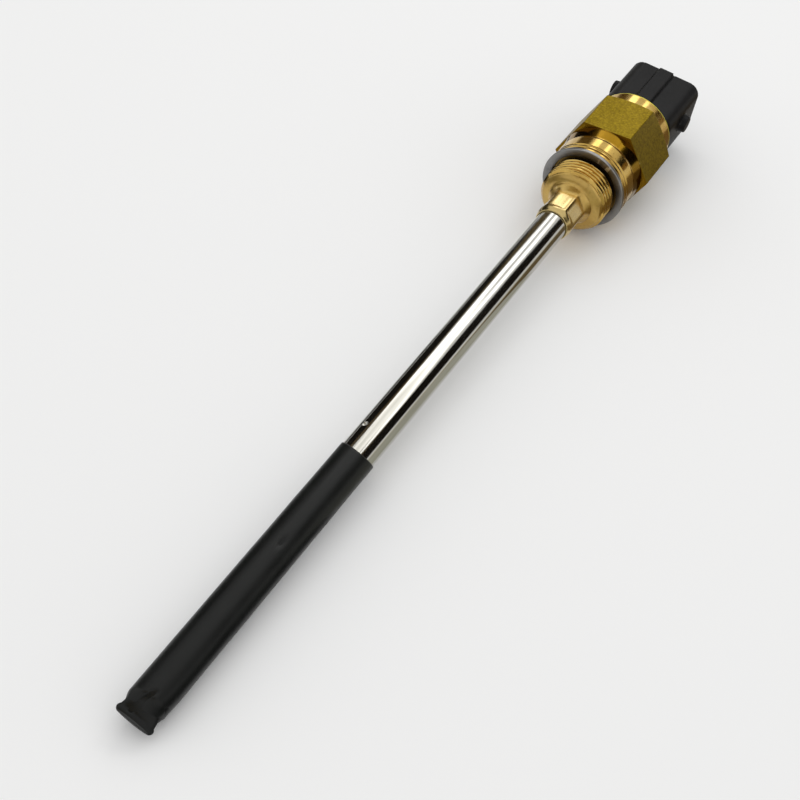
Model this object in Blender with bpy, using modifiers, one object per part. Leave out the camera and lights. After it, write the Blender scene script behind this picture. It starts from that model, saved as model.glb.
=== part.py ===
"""Oil level sensor: a steel probe tube in a crimped brass body with a plug-in connector.

Every piece is modelled on one upright axis. Z runs from the probe's tip to the connector, and
Z = 0 is the front of the sealing washer. An empty then lays the sensor down on its hexagon and
its sleeve, as it rests on a table.
"""
import math

import bmesh
import bpy
from mathutils import Matrix, Vector

MM = 0.001

# Running gaps between pieces
GAP = 0.30 * MM
FIT_GAP = 0.06 * MM

# Probe tube and the sleeve shrunk over its lower part
TUBE_RADIUS = 5.00 * MM
TUBE_WALL = 0.75 * MM
PROBE_REACH = 236.3 * MM
SLEEVE_LENGTH = 99.0 * MM
SLEEVE_WALL = 0.22 * MM
SLEEVE_SLANT = 3.20 * MM
PINCH_LENGTH = 5.9 * MM
PINCH_NARROWING = 0.06 * MM
PINCH_HALF_THICKNESS = 1.15 * MM
PINCH_SLIT = 0.70 * MM
PINCH_ANGLE = math.radians(22.0)
VENT_RISE = 6.90 * MM
VENT_RADIUS = 0.90 * MM
VENT_ANGLE = math.radians(25.0)

# Brass body, with stations counted from the front of the washer
NECK_REACH = 22.0 * MM
NECK_WALL = 1.22 * MM
NECK_RIM_WALL = 0.42 * MM
CRIMP_ANGLE = math.radians(-2.0)
CRIMP_DEPTH = 0.75 * MM
CRIMP_MARGIN = 1.50 * MM
CRIMP_SETBACK = 1.90 * MM
FACE_REACH = 8.10 * MM
CREST_RADIUS = 11.00 * MM
RELIEF_DEPTH = 1.10 * MM
COLLAR_STEP = 0.45 * MM
COLLAR_LENGTH = 12.5 * MM
RING_DEPTH = 0.40 * MM
RING_WIDTH = 0.70 * MM
RING_STEP = 1.45 * MM
HEX_ACROSS_FLATS = 28.0 * MM
HEX_LENGTH = 19.0 * MM
HEX_CHAMFER = 1.30 * MM
LIP_STEP = 0.80 * MM
LIP_LENGTH = 5.70 * MM
LIP_OVERHANG = 1.30 * MM
LIP_THICKNESS = 1.30 * MM
CHAMBER_WALL = 1.90 * MM
CHAMBER_FLOOR = 8.00 * MM
SEAT_LEDGE = 0.25 * MM
TUBE_SEAT = 3.00 * MM

# Sealing washer
WASHER_SLACK = 0.35 * MM
WASHER_BAND = 2.45 * MM
WASHER_THICKNESS = 1.20 * MM

# Connector housing
HOUSING_TURN = math.radians(6.0)
HOUSING_WIDTH = 24.2 * MM
HOUSING_HEIGHT = 17.8 * MM
HOUSING_LENGTH = 24.0 * MM
HOUSING_CORNER = 4.00 * MM
HOUSING_WALL = 1.90 * MM
HOUSING_FLOOR = 5.00 * MM
FLANGE_THICKNESS = 2.60 * MM
SKIRT_LENGTH = 7.00 * MM
RIB_WIDTH = 5.20 * MM
RIB_HEIGHT = 1.10 * MM
RIB_OFFSET = 0.60 * MM
BOSS_RADIUS = 3.20 * MM
BOSS_HEIGHT = 2.10 * MM
BOSS_RISE = 12.2 * MM
FAR_BOSS_RISE = 13.6 * MM
BOSS_OFFSET = 1.50 * MM

# Terminals and leads
PIN_SPACING = 5.50 * MM
PIN_WIDTH = 2.80 * MM
PIN_THICKNESS = 0.80 * MM
PIN_TAIL_WIDTH = 1.20 * MM
PIN_TAIL_LENGTH = 6.00 * MM
PIN_SETBACK = 4.00 * MM
FERRULE_RADIUS = 1.25 * MM
FERRULE_WALL = 0.30 * MM
FERRULE_LENGTH = 6.00 * MM
INSULATION_WALL = 0.30 * MM
LEAD_RADIUS = 0.60 * MM
LEAD_INSET = 0.80 * MM

# Sensing assembly in the tube
GUIDE_LENGTH = 2.70 * MM
LOWER_GUIDE_LENGTH = 4.50 * MM
STRIP_MARGIN = 1.25 * MM
STRIP_THICKNESS = 0.80 * MM
CLIP_WALL = 0.35 * MM
CLIP_HEIGHT = 3.00 * MM
CLIP_REACH = 1.70 * MM
SENSING_WIRE_RADIUS = 0.12 * MM
HOOK_WIRE_RADIUS = 0.20 * MM
HOOK_RADIUS = 0.50 * MM
SPRING_RADIUS = 0.85 * MM
SPRING_WIRE_RADIUS = 0.15 * MM
SPRING_LENGTH = 6.00 * MM
SPRING_TURNS = 6

# Rubber rings
HOUSING_RING_RADIUS = 0.80 * MM
TUBE_RING_RADIUS = 0.75 * MM

ROUND_STEPS = 64
SMALL_STEPS = 32

# Radii that follow from the sizes above
TUBE_INNER = TUBE_RADIUS - TUBE_WALL
SLEEVE_RADIUS = TUBE_RADIUS + FIT_GAP + SLEEVE_WALL
PINCH_HALF_WIDTH = SLEEVE_RADIUS - PINCH_NARROWING
NECK_RADIUS = TUBE_RADIUS + FIT_GAP + NECK_WALL
NECK_RIM_RADIUS = TUBE_RADIUS + FIT_GAP + NECK_RIM_WALL
CRIMP_APOTHEM = NECK_RADIUS - CRIMP_DEPTH
RELIEF_RADIUS = CREST_RADIUS - RELIEF_DEPTH
HEX_APOTHEM = HEX_ACROSS_FLATS / 2
HEX_CORNER = HEX_APOTHEM / math.cos(math.pi / 6)
COLLAR_RADIUS = HEX_APOTHEM - COLLAR_STEP
LIP_RADIUS = HEX_APOTHEM - LIP_STEP
CHAMBER_RADIUS = LIP_RADIUS - CHAMBER_WALL
WIRE_BORE_RADIUS = TUBE_INNER - SEAT_LEDGE
WASHER_HOLE_RADIUS = CREST_RADIUS + WASHER_SLACK
WASHER_RADIUS = WASHER_HOLE_RADIUS + WASHER_BAND
STRIP_WIDTH = 2 * (TUBE_INNER - STRIP_MARGIN)
LEAD_SPACING_IN_TUBE = STRIP_WIDTH - 2 * LEAD_INSET

# Stations that follow from the sizes above
TIP_END = -PROBE_REACH
SHOULDER = TIP_END + PINCH_LENGTH
SLEEVE_TOP = TIP_END + SLEEVE_LENGTH
VENT_STATION = SLEEVE_TOP + VENT_RISE
TUBE_BOTTOM = SHOULDER + 2.0 * MM
COLLAR_FRONT = WASHER_THICKNESS + GAP
HEX_FRONT = COLLAR_FRONT + COLLAR_LENGTH
HEX_REAR = HEX_FRONT + HEX_LENGTH
LIP_END = HEX_REAR + LIP_LENGTH
FLANGE_TOP = LIP_END - LIP_THICKNESS - FIT_GAP
FLANGE_BOTTOM = FLANGE_TOP - FLANGE_THICKNESS
FLANGE_RADIUS = LIP_RADIUS - 0.9 * MM
FLANGE_SEAT_RADIUS = FLANGE_RADIUS + FIT_GAP
LIP_BORE = LIP_RADIUS - LIP_OVERHANG
STEM_RADIUS = LIP_BORE - GAP
HOUSING_BASE = LIP_END + GAP
HOUSING_END = HOUSING_BASE + HOUSING_LENGTH
SKIRT_BOTTOM = FLANGE_BOTTOM - SKIRT_LENGTH
SKIRT_RADIUS = CHAMBER_RADIUS - GAP
RING_GROOVE_MIDDLE = FLANGE_BOTTOM - SKIRT_LENGTH / 2
HOUSING_RING_MIDDLE = CHAMBER_RADIUS - FIT_GAP - HOUSING_RING_RADIUS
HOUSING_GROOVE_RADIUS = HOUSING_RING_MIDDLE - HOUSING_RING_RADIUS - FIT_GAP
TUBE_RING_MIDDLE = TUBE_RADIUS + FIT_GAP + TUBE_RING_RADIUS
TUBE_GROOVE_RADIUS = TUBE_RING_MIDDLE + TUBE_RING_RADIUS + FIT_GAP
TUBE_GROOVE_MIDDLE = -4.0 * MM
PIN_TIP = HOUSING_END - PIN_SETBACK
PIN_SHOULDER = SKIRT_BOTTOM - 1.0 * MM
PIN_TAIL_END = PIN_SHOULDER - PIN_TAIL_LENGTH
LEAD_TOP = PIN_TAIL_END - FIT_GAP
FERRULE_MIDDLE = PIN_TAIL_END
GROMMET_BOTTOM = CHAMBER_FLOOR + GAP
GROMMET_TOP = GROMMET_BOTTOM + 3.0 * MM
GUIDE_TOP = TUBE_SEAT - 0.8 * MM
GUIDE_BOTTOM = GUIDE_TOP - GUIDE_LENGTH
STRIP_TOP = GUIDE_BOTTOM - GAP
STRIP_BOTTOM = TUBE_BOTTOM + 1.5 * MM
CLIP_TOP = STRIP_TOP - 1.0 * MM
CLIP_BOTTOM = CLIP_TOP - CLIP_HEIGHT
CLIP_FACE = STRIP_THICKNESS / 2 + FIT_GAP + CLIP_WALL
LEAD_OFFSET = CLIP_FACE + FIT_GAP + LEAD_RADIUS
WIRE_OFFSET = CLIP_FACE + GAP + SENSING_WIRE_RADIUS
LOWER_GUIDE_TOP = TUBE_BOTTOM + LOWER_GUIDE_LENGTH
SPRING_BOTTOM = LOWER_GUIDE_TOP + GAP
SPRING_TOP = SPRING_BOTTOM + SPRING_LENGTH
HOOK_TOP = SPRING_TOP + 3.0 * MM
SPRING_OFFSET = WIRE_OFFSET + HOOK_RADIUS

# At rest the hexagon's front edge and the sleeve's shoulder touch the table
REST_TILT = math.atan((HEX_APOTHEM - SLEEVE_RADIUS) / (HEX_FRONT - SHOULDER))
TABLE_AT_WASHER = HEX_APOTHEM - HEX_FRONT * math.tan(REST_TILT)


def collection(name, hidden=False):
    """A collection of the scene; a hidden one holds the cutting shapes."""
    made = bpy.data.collections.new(name)
    made.hide_render = hidden
    bpy.context.scene.collection.children.link(made)
    return made


def material(name, colour, roughness, metallic=0.0):
    made = bpy.data.materials.new(name)
    made.use_nodes = True
    shader = made.node_tree.nodes["Principled BSDF"]
    shader.inputs["Base Color"].default_value = (*colour, 1.0)
    shader.inputs["Roughness"].default_value = roughness
    shader.inputs["Metallic"].default_value = metallic
    made.diffuse_color = (*colour, 1.0)
    return made


def add(name, data, finish):
    """A named piece of the sensor, carried by the empty that lays it down."""
    piece = bpy.data.objects.new(name, data)
    parts.objects.link(piece)
    piece.parent = laid_down
    data.materials.append(finish)
    return piece


def add_cutter(name, mesh):
    cutter = bpy.data.objects.new(name, mesh)
    cutters.objects.link(cutter)
    cutter.parent = laid_down
    cutter.hide_render = True
    cutter.display_type = "WIRE"
    return cutter


def cut(piece, cutter, operation="DIFFERENCE"):
    boolean = piece.modifiers.new(cutter.name, "BOOLEAN")
    boolean.object = cutter
    boolean.operation = operation
    boolean.solver = "EXACT"


def mesh_from(shape, name):
    mesh = bpy.data.meshes.new(name)
    shape.to_mesh(mesh)
    shape.free()
    return mesh


def turned(name, profile, finish, steps=ROUND_STEPS):
    """A ring or tube turned about Z from a closed profile of (radius, height) points."""
    shape = bmesh.new()
    points = [shape.verts.new((radius, 0.0, height)) for radius, height in profile]
    for first, second in zip(points, points[1:] + points[:1]):
        shape.edges.new((first, second))
    piece = add(name, mesh_from(shape, name), finish)
    screw = piece.modifiers.new("turn", "SCREW")
    screw.axis = "Z"
    screw.angle = 2 * math.pi
    screw.steps = steps
    screw.render_steps = steps
    screw.use_merge_vertices = True
    screw.merge_threshold = 0.000001
    screw.use_smooth_shade = True
    return piece


def ring_profile(inner, outer, bottom, top, chamfer=0.0):
    """The section of a plain ring with its outer edges broken."""
    return [
        (inner, top),
        (outer - chamfer, top),
        (outer, top - chamfer),
        (outer, bottom + chamfer),
        (outer - chamfer, bottom),
        (inner, bottom),
    ] if chamfer else [(inner, top), (outer, top), (outer, bottom), (inner, bottom)]


def rounded_box(shape, half_x, half_y, corner, bottom, top, steps=6):
    """Adds an upright box with rounded corners to a bmesh."""
    made = bmesh.ops.create_cube(shape, size=1.0)["verts"]
    for vert in made:
        vert.co.x *= 2 * half_x
        vert.co.y *= 2 * half_y
        vert.co.z = top if vert.co.z > 0 else bottom
    edges = {edge for vert in made for edge in vert.link_edges}
    uprights = [edge for edge in edges if abs(edge.verts[0].co.z - edge.verts[1].co.z) > 1e-6]
    bmesh.ops.bevel(shape, geom=uprights, offset=corner, segments=steps, affect="EDGES", profile=0.5)


def box(shape, low, high):
    """Adds a plain box between two corners to a bmesh."""
    made = bmesh.ops.create_cube(shape, size=1.0)["verts"]
    for vert in made:
        vert.co = Vector(high[i] if vert.co[i] > 0 else low[i] for i in range(3))


def rod(shape, radius, depth, place, steps=SMALL_STEPS, top_radius=None):
    """Adds a round rod to a bmesh, along the Z of the matrix that places its middle."""
    bmesh.ops.create_cone(
        shape,
        cap_ends=True,
        segments=steps,
        radius1=radius,
        radius2=radius if top_radius is None else top_radius,
        depth=depth,
        matrix=place,
    )


def wire(name, points, radius, finish):
    """A round wire with closed ends along a list of points."""
    curve = bpy.data.curves.new(name, "CURVE")
    curve.dimensions = "3D"
    curve.bevel_depth = radius
    curve.bevel_resolution = 2
    curve.use_fill_caps = True
    spline = curve.splines.new("POLY")
    spline.points.add(len(points) - 1)
    for place, point in zip(spline.points, points):
        place.co = (*point, 1.0)
    return add(name, curve, finish)


def flat_plate(name, outline, thickness, finish):
    """A plate of even thickness, cut to an outline in its own XY plane."""
    curve = bpy.data.curves.new(name, "CURVE")
    curve.dimensions = "2D"
    curve.fill_mode = "BOTH"
    curve.extrude = thickness / 2
    spline = curve.splines.new("POLY")
    spline.use_cyclic_u = True
    spline.points.add(len(outline) - 1)
    for place, point in zip(spline.points, outline):
        place.co = (*point, 0.0, 1.0)
    return add(name, curve, finish)


def body_profile():
    """The body's section: the outside from the lip down to the neck, then the bore back up."""
    chamfer_foot = HEX_REAR - HEX_CHAMFER
    outside = [
        (LIP_BORE, LIP_END),
        (LIP_RADIUS - 0.55 * MM, LIP_END),
        (LIP_RADIUS - 0.15 * MM, LIP_END - 0.20 * MM),
        (LIP_RADIUS, LIP_END - 0.65 * MM),
        (LIP_RADIUS, HEX_REAR),
        (HEX_CORNER - 2 * HEX_CHAMFER, HEX_REAR),
        (HEX_CORNER + 0.1 * MM, chamfer_foot),
        (HEX_CORNER + 0.1 * MM, HEX_FRONT),
        (COLLAR_RADIUS, HEX_FRONT),
    ]
    for ring in (2, 1):
        middle = COLLAR_FRONT + ring * RING_STEP
        outside += [
            (COLLAR_RADIUS, middle + RING_WIDTH / 2),
            (COLLAR_RADIUS - RING_DEPTH, middle + RING_WIDTH / 6),
            (COLLAR_RADIUS - RING_DEPTH, middle - RING_WIDTH / 6),
            (COLLAR_RADIUS, middle - RING_WIDTH / 2),
        ]
    outside += [
        (COLLAR_RADIUS, COLLAR_FRONT + 0.4 * MM),
        (COLLAR_RADIUS - 0.4 * MM, COLLAR_FRONT),
        (RELIEF_RADIUS, COLLAR_FRONT),
        (RELIEF_RADIUS, COLLAR_FRONT - 1.5 * MM),
        (CREST_RADIUS, COLLAR_FRONT - 2.6 * MM),
        (CREST_RADIUS, -FACE_REACH + 0.8 * MM),
        (CREST_RADIUS - 0.8 * MM, -FACE_REACH),
        (NECK_RADIUS + 1.0 * MM, -FACE_REACH - 0.5 * MM),
        (NECK_RADIUS + 0.3 * MM, -FACE_REACH - 0.8 * MM),
        (NECK_RADIUS, -FACE_REACH - 1.5 * MM),
        (NECK_RADIUS, -NECK_REACH + 2.4 * MM),
        (NECK_RIM_RADIUS, -NECK_REACH + 0.3 * MM),
        (NECK_RIM_RADIUS - 0.1 * MM, -NECK_REACH),
    ]
    bore = TUBE_RADIUS + FIT_GAP
    groove = TUBE_RING_RADIUS + FIT_GAP
    inside = [
        (bore + 0.1 * MM, -NECK_REACH),
        (bore, -NECK_REACH + 0.3 * MM),
        (bore, TUBE_GROOVE_MIDDLE - groove),
        (TUBE_GROOVE_RADIUS, TUBE_GROOVE_MIDDLE - groove),
        (TUBE_GROOVE_RADIUS, TUBE_GROOVE_MIDDLE + groove),
        (bore, TUBE_GROOVE_MIDDLE + groove),
        (bore, TUBE_SEAT + GAP),
        (WIRE_BORE_RADIUS, TUBE_SEAT + GAP),
        (WIRE_BORE_RADIUS, CHAMBER_FLOOR),
        (CHAMBER_RADIUS, CHAMBER_FLOOR),
        (CHAMBER_RADIUS, FLANGE_BOTTOM - FIT_GAP),
        (FLANGE_SEAT_RADIUS, FLANGE_BOTTOM - FIT_GAP),
        (FLANGE_SEAT_RADIUS, FLANGE_TOP + FIT_GAP),
        (LIP_BORE, FLANGE_TOP + FIT_GAP),
    ]
    return outside + inside


def threaded_body():
    """The brass body: turned, milled to a hexagon, and pressed onto the tube with six jaws."""
    body = turned("threaded_body", body_profile(), brass)

    prism = bmesh.new()
    middle = (LIP_END - NECK_REACH) / 2
    length = LIP_END + NECK_REACH + 10.0 * MM
    rod(prism, HEX_CORNER, length, Matrix.Translation((0, 0, middle)), steps=6)
    cut(body, add_cutter("hexagon_cutter", mesh_from(prism, "hexagon_cutter")), "INTERSECT")

    jaws = bmesh.new()
    low = -NECK_REACH + CRIMP_MARGIN
    high = -FACE_REACH - CRIMP_SETBACK
    for side in range(6):
        before = set(jaws.verts)
        half = (CRIMP_APOTHEM * math.tan(math.pi / 6)) - 0.25 * MM
        box(jaws, (-NECK_RADIUS - 1.0 * MM, -half, low), (-CRIMP_APOTHEM, half, high))
        fresh = [vert for vert in jaws.verts if vert not in before]
        turn = Matrix.Rotation(CRIMP_ANGLE + side * math.pi / 3, 3, "Z")
        bmesh.ops.rotate(jaws, verts=fresh, matrix=turn)
    cut(body, add_cutter("crimp_cutter", mesh_from(jaws, "crimp_cutter")))


def sealing_washer():
    """The washer is loose on the thread: its rim stands on the table, as far as its hole lets it."""
    section = ring_profile(WASHER_HOLE_RADIUS, WASHER_RADIUS, 0.0, WASHER_THICKNESS)
    washer = turned("sealing_washer", section, aluminium)
    lift = max(WASHER_RADIUS - TABLE_AT_WASHER, 0.0)
    washer.location.x = -min(lift, WASHER_SLACK + RELIEF_DEPTH - GAP)


def probe_tube():
    """The steel tube, with its small vent hole through one wall."""
    section = ring_profile(TUBE_INNER, TUBE_RADIUS, TUBE_BOTTOM, TUBE_SEAT)
    tube = turned("probe_tube", section, steel, steps=48)
    drill = bmesh.new()
    across = Matrix.Rotation(-VENT_ANGLE, 4, "Z") @ Matrix.Translation((-TUBE_RADIUS, 0, VENT_STATION))
    across = across @ Matrix.Rotation(math.pi / 2, 4, "Y")
    rod(drill, VENT_RADIUS, 2 * TUBE_RADIUS - 2.0 * MM, across, steps=16)
    cut(tube, add_cutter("vent_drill", mesh_from(drill, "vent_drill")))


def pinch_section(height):
    """The sleeve's half width and half thickness at a height at or below its shoulder."""
    share = (SHOULDER - height) / PINCH_LENGTH
    fall = 0.5 - 0.5 * math.cos(math.pi * min(share / 0.8, 1.0))
    thickness = SLEEVE_RADIUS + (PINCH_HALF_THICKNESS - SLEEVE_RADIUS) * fall
    waist = 0.85 * SLEEVE_RADIUS
    if share < 0.5:
        width = SLEEVE_RADIUS + (waist - SLEEVE_RADIUS) * math.sin(math.pi * share)
    else:
        width = waist + (PINCH_HALF_WIDTH - waist) * math.sin(math.pi * min(share - 0.5, 0.3) / 0.6)
    if share > 0.8:
        width -= 0.6 * MM * ((share - 0.8) / 0.2) ** 2
    return width, thickness


def sleeve_section(height, inset):
    """The same section moved in by the wall, kept at least as open as the slit."""
    if height >= SHOULDER:
        return SLEEVE_RADIUS - inset, SLEEVE_RADIUS - inset
    width, thickness = pinch_section(height)
    return width - inset, max(thickness - inset, PINCH_SLIT / 2 if inset else thickness)


# The half width and half thickness of the loop that is extruded next
loop_width = [1.0, 1.0]


def add_section(shape, loop, height, inset):
    """Extrudes a loop of edges to the sleeve's section at another height."""
    made = bmesh.ops.extrude_edge_only(shape, edges=loop)["geom"]
    verts = [item for item in made if isinstance(item, bmesh.types.BMVert)]
    width, thickness = sleeve_section(height, inset)
    for vert in verts:
        angle = math.atan2(vert.co.y / loop_width[0], vert.co.x / loop_width[1])
        vert.co = (thickness * math.cos(angle), width * math.sin(angle), height)
    loop_width[:] = [width, thickness]
    return [item for item in made if isinstance(item, bmesh.types.BMEdge)]


def shrink_sleeve():
    """The sleeve: cut at a slant, round over the tube, then pinched to a flat end with a slit."""
    shape = bmesh.new()
    steps = 10
    pinch = [SHOULDER - PINCH_LENGTH * i / steps for i in range(steps + 1)]
    outside = [SLEEVE_TOP - 0.15 * MM] + pinch
    bmesh.ops.create_circle(shape, cap_ends=False, segments=40, radius=SLEEVE_RADIUS - 0.1 * MM)
    for vert in shape.verts:
        vert.co.z = SLEEVE_TOP
    loop_width[:] = [SLEEVE_RADIUS, SLEEVE_RADIUS]
    first = list(shape.edges)
    loop = first
    for height in outside:
        loop = add_section(shape, loop, height, 0.0)
    for height in reversed([SLEEVE_TOP] + pinch):
        loop = add_section(shape, loop, height, SLEEVE_WALL)
    bmesh.ops.bridge_loops(shape, edges=first + loop)
    for vert in shape.verts:
        if vert.co.z > SLEEVE_TOP - 0.5 * MM:
            vert.co.z += SLEEVE_SLANT * vert.co.x / SLEEVE_RADIUS
    bmesh.ops.recalc_face_normals(shape, faces=shape.faces)
    sleeve = add("shrink_sleeve", mesh_from(shape, "shrink_sleeve"), black_sleeve)
    sleeve.rotation_euler.z = PINCH_ANGLE


def housing_base_profile():
    """The round part of the housing: stem, flange and grooved skirt, as a solid of revolution."""
    groove = HOUSING_RING_RADIUS + FIT_GAP
    return [
        (0.0, HOUSING_BASE + 0.5 * MM),
        (STEM_RADIUS, HOUSING_BASE + 0.5 * MM),
        (STEM_RADIUS, FLANGE_TOP),
        (FLANGE_RADIUS, FLANGE_TOP),
        (FLANGE_RADIUS, FLANGE_BOTTOM),
        (SKIRT_RADIUS, FLANGE_BOTTOM),
        (SKIRT_RADIUS, RING_GROOVE_MIDDLE + groove),
        (HOUSING_GROOVE_RADIUS, RING_GROOVE_MIDDLE + groove),
        (HOUSING_GROOVE_RADIUS, RING_GROOVE_MIDDLE - groove),
        (SKIRT_RADIUS, RING_GROOVE_MIDDLE - groove),
        (SKIRT_RADIUS, SKIRT_BOTTOM),
        (0.0, SKIRT_BOTTOM),
    ]


def revolved_mesh(name, profile, steps=ROUND_STEPS):
    """A closed mesh spun about Z from an open profile that starts and ends on the axis."""
    shape = bmesh.new()
    points = [shape.verts.new((radius, 0.0, height)) for radius, height in profile]
    edges = [shape.edges.new(pair) for pair in zip(points, points[1:])]
    bmesh.ops.spin(
        shape,
        geom=points + edges,
        axis=(0, 0, 1),
        cent=(0, 0, 0),
        steps=steps,
        angle=2 * math.pi,
    )
    bmesh.ops.remove_doubles(shape, verts=shape.verts, dist=0.000001)
    bmesh.ops.recalc_face_normals(shape, faces=shape.faces)
    return mesh_from(shape, name)


def connector_housing():
    """The moulded housing: a rounded box on a round base, with its socket, rib and latch bosses."""
    shape = bmesh.new()
    half_x = HOUSING_HEIGHT / 2
    half_y = HOUSING_WIDTH / 2
    rounded_box(shape, half_x, half_y, HOUSING_CORNER, HOUSING_BASE, HOUSING_END)
    housing = add("connector_housing", mesh_from(shape, "connector_housing"), black_plastic)
    housing.rotation_euler.z = HOUSING_TURN

    for name, mesh in (
        ("housing_base", revolved_mesh("housing_base", housing_base_profile())),
        ("housing_rib", housing_rib_mesh(half_x)),
        ("latch_bosses", latch_boss_mesh(half_y)),
    ):
        extra = add_cutter(name, mesh)
        extra.rotation_euler.z = HOUSING_TURN
        cut(housing, extra, "UNION")
    for name, mesh in (
        ("socket_cutter", socket_mesh(half_x, half_y)),
        ("pin_slots", pin_slot_mesh()),
    ):
        extra = add_cutter(name, mesh)
        extra.rotation_euler.z = HOUSING_TURN
        cut(housing, extra)


def housing_rib_mesh(half_x):
    shape = bmesh.new()
    low = (-half_x - RIB_HEIGHT, RIB_OFFSET - RIB_WIDTH / 2, HOUSING_BASE + 1.0 * MM)
    box(shape, low, (-half_x + 1.0 * MM, RIB_OFFSET + RIB_WIDTH / 2, HOUSING_END - 0.6 * MM))
    return mesh_from(shape, "housing_rib")


def latch_boss_mesh(half_y):
    """A tapered round boss on each narrow side, for the plug's clip."""
    shape = bmesh.new()
    for side, rise in ((-1, BOSS_RISE), (1, FAR_BOSS_RISE)):
        out = half_y + BOSS_HEIGHT / 2 - 0.5 * MM
        middle = Vector((-BOSS_OFFSET, side * out, HOUSING_BASE + rise))
        place = Matrix.Translation(middle) @ Matrix.Rotation(-side * math.pi / 2, 4, "X")
        rod(shape, BOSS_RADIUS, BOSS_HEIGHT + 1.0 * MM, place, steps=24, top_radius=BOSS_RADIUS - 0.5 * MM)
    return mesh_from(shape, "latch_bosses")


def socket_mesh(half_x, half_y):
    shape = bmesh.new()
    floor = HOUSING_BASE + HOUSING_FLOOR
    top = HOUSING_END + 2.0 * MM
    inner_corner = HOUSING_CORNER - HOUSING_WALL
    rounded_box(shape, half_x - HOUSING_WALL, half_y - HOUSING_WALL, inner_corner, floor, top)
    return mesh_from(shape, "socket_cutter")


def pin_slot_mesh():
    """One slot for each blade, right through the housing's floor and base."""
    shape = bmesh.new()
    half_x = PIN_THICKNESS / 2 + FIT_GAP
    half_y = PIN_WIDTH / 2 + FIT_GAP
    for side in (-1, 1):
        middle = side * PIN_SPACING / 2
        low = (-half_x, middle - half_y, SKIRT_BOTTOM - 1.0 * MM)
        box(shape, low, (half_x, middle + half_y, HOUSING_BASE + HOUSING_FLOOR + 1.0 * MM))
    return mesh_from(shape, "pin_slots")


def rubber_ring(name, middle, section, height):
    """A rubber ring of round section."""
    around = 12
    turns = [2 * math.pi * i / around for i in range(around)]
    profile = [(middle + section * math.sin(t), height + section * math.cos(t)) for t in turns]
    turned(name, profile, rubber, steps=40)


def terminal_pin(number, side):
    """A flat blade with a tapered tip and a narrow tail."""
    half = PIN_WIDTH / 2
    tail = PIN_TAIL_WIDTH / 2
    length = PIN_TIP - PIN_SHOULDER
    outline = [
        (-tail, -PIN_TAIL_LENGTH),
        (tail, -PIN_TAIL_LENGTH),
        (tail, 0.0),
        (half, 0.0),
        (half, length - 1.2 * MM),
        (half - 0.7 * MM, length),
        (-half + 0.7 * MM, length),
        (-half, length - 1.2 * MM),
        (-half, 0.0),
        (-tail, 0.0),
    ]
    pin = flat_plate(f"terminal_pin_{number}", outline, PIN_THICKNESS, tin)
    turn = Matrix.Rotation(HOUSING_TURN, 4, "Z")
    stand = Matrix.Translation((0, side * PIN_SPACING / 2, PIN_SHOULDER))
    face = Matrix(((0, 0, 1, 0), (1, 0, 0, 0), (0, 1, 0, 0), (0, 0, 0, 1)))
    pin.matrix_local = turn @ stand @ face


def tail_place(side, height):
    """Where a pin's tail stands, after the housing's turn."""
    flat = Matrix.Rotation(HOUSING_TURN, 3, "Z") @ Vector((0, side * PIN_SPACING / 2, 0))
    return Vector((flat.x, flat.y, height))


def splice(number, side):
    """The metal ferrule on a pin's tail and lead, and the sleeve that insulates it."""
    bottom = FERRULE_MIDDLE - FERRULE_LENGTH / 2
    top = FERRULE_MIDDLE + FERRULE_LENGTH / 2
    inner = FERRULE_RADIUS - FERRULE_WALL
    section = ring_profile(inner, FERRULE_RADIUS, bottom, top)
    ferrule = turned(f"crimp_ferrule_{number}", section, tin, steps=20)
    ferrule.location = tail_place(side, 0.0)
    inner = FERRULE_RADIUS + FIT_GAP
    section = ring_profile(inner, inner + INSULATION_WALL, bottom - 0.5 * MM, top + 0.5 * MM)
    sleeve = turned(f"insulating_sleeve_{number}", section, black_sleeve, steps=20)
    sleeve.location = tail_place(side, 0.0)


def lead_wire(number, side):
    """A lead from its pin's tail, through the body, to its clip in the tube."""
    start = tail_place(side, 0.0)
    end = Vector((LEAD_OFFSET, side * LEAD_SPACING_IN_TUBE / 2, 0))
    bend_top = GROMMET_BOTTOM
    bend_bottom = GUIDE_TOP + 0.3 * MM
    points = [Vector((start.x, start.y, LEAD_TOP))]
    steps = 8
    for i in range(steps + 1):
        share = i / steps
        blend = 0.5 - 0.5 * math.cos(math.pi * share)
        place = start.lerp(end, blend)
        place.z = bend_top + (bend_bottom - bend_top) * share
        points.append(place)
    points.append(Vector((end.x, end.y, CLIP_BOTTOM + 0.4 * MM)))
    wire(f"lead_wire_{number}", points, LEAD_RADIUS, lead_colours[number])


def holed_disc(name, radius, bottom, top, holes, finish):
    """A round plug with two lead holes through it."""
    shape = bmesh.new()
    rod(shape, radius, top - bottom, Matrix.Translation((0, 0, (bottom + top) / 2)), steps=48)
    disc = add(name, mesh_from(shape, name), finish)
    drill = bmesh.new()
    for hole in holes:
        place = Matrix.Translation((hole.x, hole.y, (bottom + top) / 2))
        rod(drill, LEAD_RADIUS + FIT_GAP, top - bottom + 2.0 * MM, place, steps=16)
    cut(disc, add_cutter(name + "_drill", mesh_from(drill, name + "_drill")))


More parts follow.
